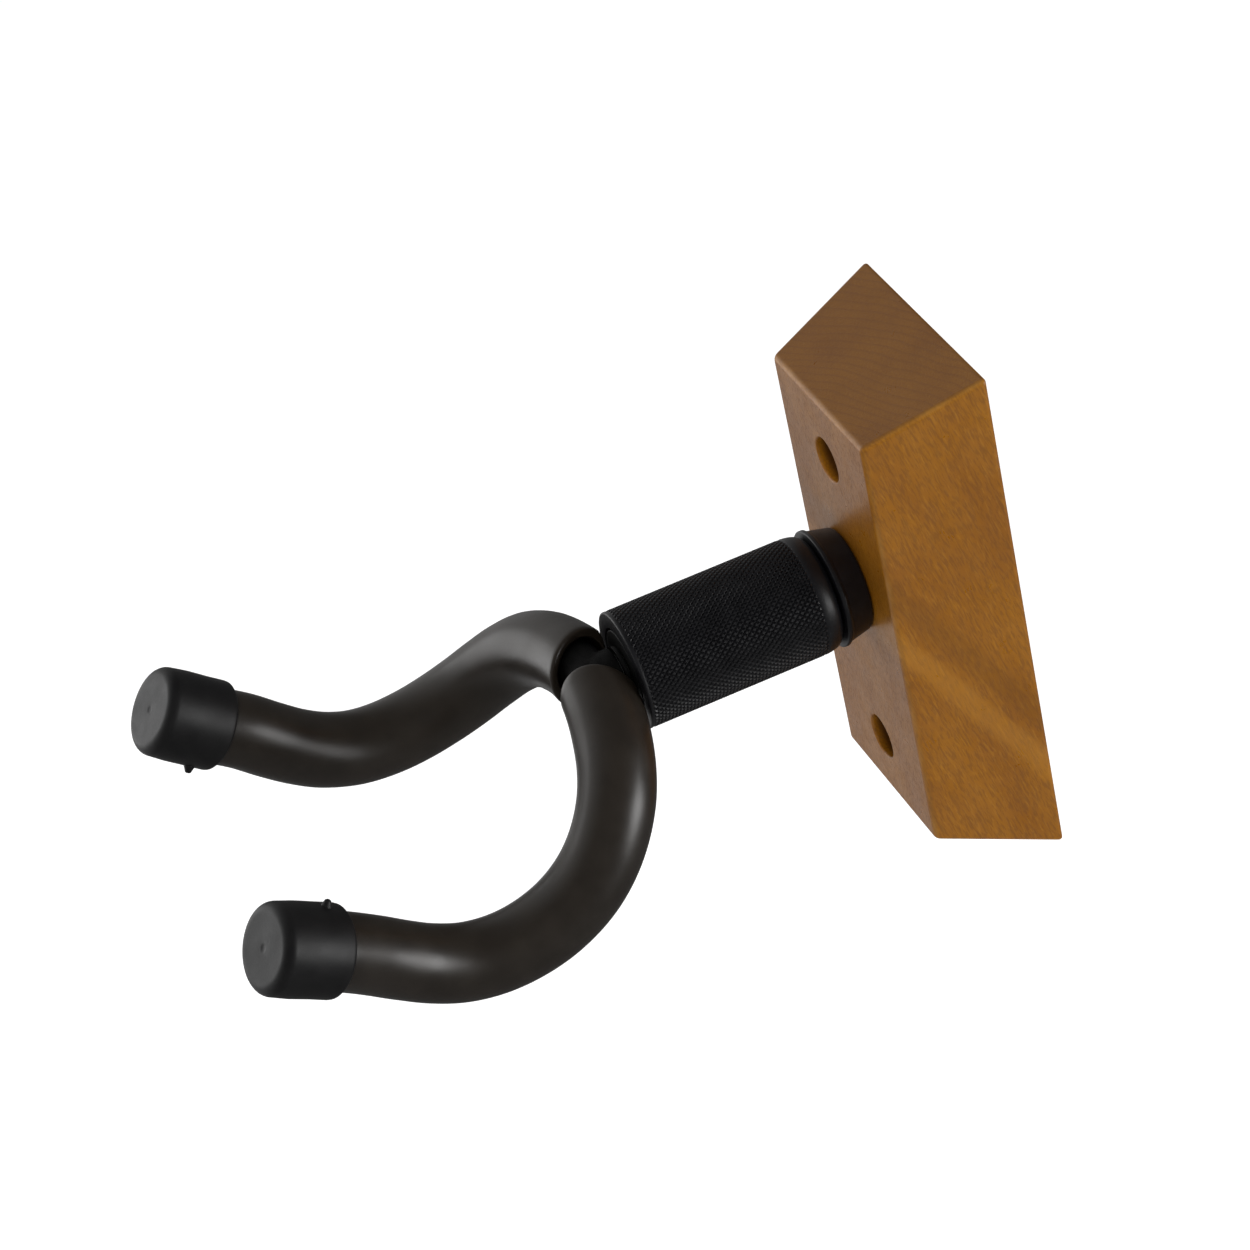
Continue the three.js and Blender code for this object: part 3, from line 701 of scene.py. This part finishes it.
def cap(name, side):
    n = 56
    tip = at([side * HALF])[0]
    back = at([side * (HALF - CAP_LEN)])[0]
    axis = (tip - back) / np.linalg.norm(tip - back)
    e1 = np.array(NIB[name], float)
    e1 -= axis * (e1 @ axis)
    e1 /= np.linalg.norm(e1)
    e2 = np.cross(axis, e1)
    ring_th = np.arange(n) * TAU / n
    verts, rings = [], []

    def outer(r, h):
        if r < 1e-6:
            rings.append(("pole", len(verts)))
            verts.append(tuple(tip + axis * h))
            return
        rings.append(("ring", len(verts)))
        for th in ring_th:
            wob = 0.0
            if r > 8.5:
                wob = 0.06 * noise.noise(Vector((math.cos(th), math.sin(th), h * 0.12 + side * 3)))
            verts.append(tuple(tip + axis * h + (r + wob) * (math.cos(th) * e1 + math.sin(th) * e2)))

    # closed end: shallow gate dimple, nearly flat face, rounded rim
    face = [(0.0, -0.20), (0.35, -0.19), (0.6, -0.14), (0.8, -0.08), (1.1, -0.045), (3.0, -0.05), (5.0, -0.04), (6.6, -0.02)]
    face += [(CAP_R - 2.4 + 2.2 * math.sin(a), -2.2 + 2.2 * math.cos(a)) for a in np.linspace(0.10, math.pi / 2, 11)]
    face += [(CAP_R - 0.13, -3.6), (CAP_R - 0.02, -5.8), (CAP_R - 0.02, -8.0), (CAP_R - 0.05, -10.5), (CAP_R - 0.02, -13.0), (CAP_R - 0.02, -CAP_LEN + 0.8), (CAP_R - 0.10, -CAP_LEN + 0.35), (CAP_R - 0.32, -CAP_LEN + 0.08), (CAP_R - 0.55, -CAP_LEN)]
    for r, h in face:
        outer(r, h)
    # hollow that follows the tubing
    s_in = np.linspace(HALF - CAP_LEN - 1.5, HALF - CAP_WALL, 12)
    mouth_r = 8.02
    for i, s in enumerate(s_in):
        c = at([side * s])[0]
        t = along([side * s])[0] * side
        a = e1 - t * (e1 @ t)
        a /= np.linalg.norm(a)
        b = np.cross(t, a)
        if i == 0:
            # projected on to the plane of the open end, with a small rounded lip
            for r, h in ((mouth_r + 0.28, -CAP_LEN), (mouth_r + 0.06, -CAP_LEN + 0.1), (mouth_r, -CAP_LEN + 0.35)):
                rings.append(("ring", len(verts)))
                for th in ring_th:
                    p = c + r * (math.cos(th) * a + math.sin(th) * b)
                    p = p + t * (((tip + axis * h - p) @ axis) / (t @ axis))
                    verts.append(tuple(p))
            continue
        if s < HALF - CAP_LEN + 1.6:
            continue
        rings.append(("ring", len(verts)))
        for th in ring_th:
            verts.append(tuple(c + mouth_r * (math.cos(th) * a + math.sin(th) * b)))
    rings.append(("pole", len(verts)))
    verts.append(tuple(at([side * (HALF - CAP_WALL)])[0]))
    faces = strip(rings, n, False)
    ob = build(name + "_detail", place(verts), faces, 42)

    # moulding nib near the open end
    foot = tip - axis * (CAP_LEN - 4.0)
    nv, nr = [], []
    for r, h in ((0.0, CAP_R - 0.7), (1.15, CAP_R - 0.7), (1.12, CAP_R + 0.0), (0.95, CAP_R + 0.3), (0.76, CAP_R + 0.75), (0.62, CAP_R + 1.1), (0.36, CAP_R + 1.29), (0.0, CAP_R + 1.33)):
        if r < 1e-6:
            nr.append(("pole", len(nv)))
            nv.append(tuple(foot + e1 * h))
            continue
        nr.append(("ring", len(nv)))
        for k in range(20):
            th = TAU * k / 20
            nv.append(tuple(foot + e1 * h + r * (math.cos(th) * axis + math.sin(th) * e2)))
    boolean(ob, build("nib", place(nv), strip(nr, 20, False), 60), "UNION")
    smooth(ob, 42)
    return ob


finish_piece(cap("right_cap", 1), RUBBER, "fork", "cap_rubber", "right_cap")
finish_piece(cap("left_cap", -1), RUBBER, "fork", "cap_rubber", "left_cap")

# ---- floor, light and camera ---------------------------------------------------------------
fm = bpy.data.meshes.new("floor")
fm.from_pydata([(-6, -6, -0.5), (6, -6, -0.5), (6, 6, -0.5), (-6, 6, -0.5)], [], [(0, 1, 2, 3)])
floor = bpy.data.objects.new("floor", fm)
fm.materials.append(floor_material())
scene.collection.objects.link(floor)


def area_light(name, direction, distance, size, power, colour=(1, 1, 1)):
    d = Vector(direction).normalized()
    data = bpy.data.lights.new(name, "AREA")
    data.shape, data.size = "SQUARE", size
    data.energy, data.color = power, colour
    ob = bpy.data.objects.new(name, data)
    ob.location = Vector((0.0, -0.08, 0.0)) + d * distance
    ob.rotation_mode = "QUATERNION"
    ob.rotation_quaternion = d.to_track_quat("Z", "Y")
    scene.collection.objects.link(ob)
    return ob


area_light("key", (0.75, -0.35, 0.60), 2.0, 1.4, 19).visible_glossy = False
area_light("top", (0.0, -0.2, 1.0), 2.2, 1.4, 20).visible_glossy = False
area_light("left", (-0.75, -0.65, 0.02), 2.0, 1.4, 11)
area_light("right", (0.67, 0.72, 0.05), 2.0, 1.0, 27)
floor.visible_glossy = False

world = bpy.data.worlds.new("studio")
scene.world = world
world.use_nodes = True
wn = world.node_tree
wn.nodes.clear()
w_out = wn.nodes.new("ShaderNodeOutputWorld")
w_bg = wn.nodes.new("ShaderNodeBackground")
w_tc = wn.nodes.new("ShaderNodeTexCoord")
w_dot = wn.nodes.new("ShaderNodeVectorMath")
w_dot.operation = "DOT_PRODUCT"
w_dot.inputs[1].default_value = Vector((-0.72, -0.66, 0.06)).normalized()
w_map = wn.nodes.new("ShaderNodeMapRange")
w_map.interpolation_type = "SMOOTHSTEP"
w_map.inputs[1].default_value, w_map.inputs[2].default_value = 0.2, 0.98
w_map.inputs[3].default_value, w_map.inputs[4].default_value = 0.16, 0.92
wn.links.new(w_tc.outputs["Generated"], w_dot.inputs[0])
wn.links.new(w_dot.outputs["Value"], w_map.inputs[0])
wn.links.new(w_map.outputs[0], w_bg.inputs["Strength"])
wn.links.new(w_bg.outputs[0], w_out.inputs[0])

cam_data = bpy.data.cameras.new("camera")
cam_data.sensor_width = 36.0
cam_data.lens = 36.0 * 4067.69 / 1250
cam_data.clip_start, cam_data.clip_end = 0.05, 30.0
cam = bpy.data.objects.new("camera", cam_data)
view = Matrix(((0.38263071, 0.90406134, -0.19043854), (0.49328968, -0.37419253, -0.78526762), (-0.78119078, 0.20652614, -0.58914168)))
rot = view.transposed() @ Matrix(((1, 0, 0), (0, -1, 0), (0, 0, -1)))
cam.matrix_world = Matrix.Translation((0.6162643779, -0.2350799309, 0.4813231508)) @ rot.to_4x4()
scene.collection.objects.link(cam)
scene.camera = cam
scene.view_settings.view_transform = "Standard"
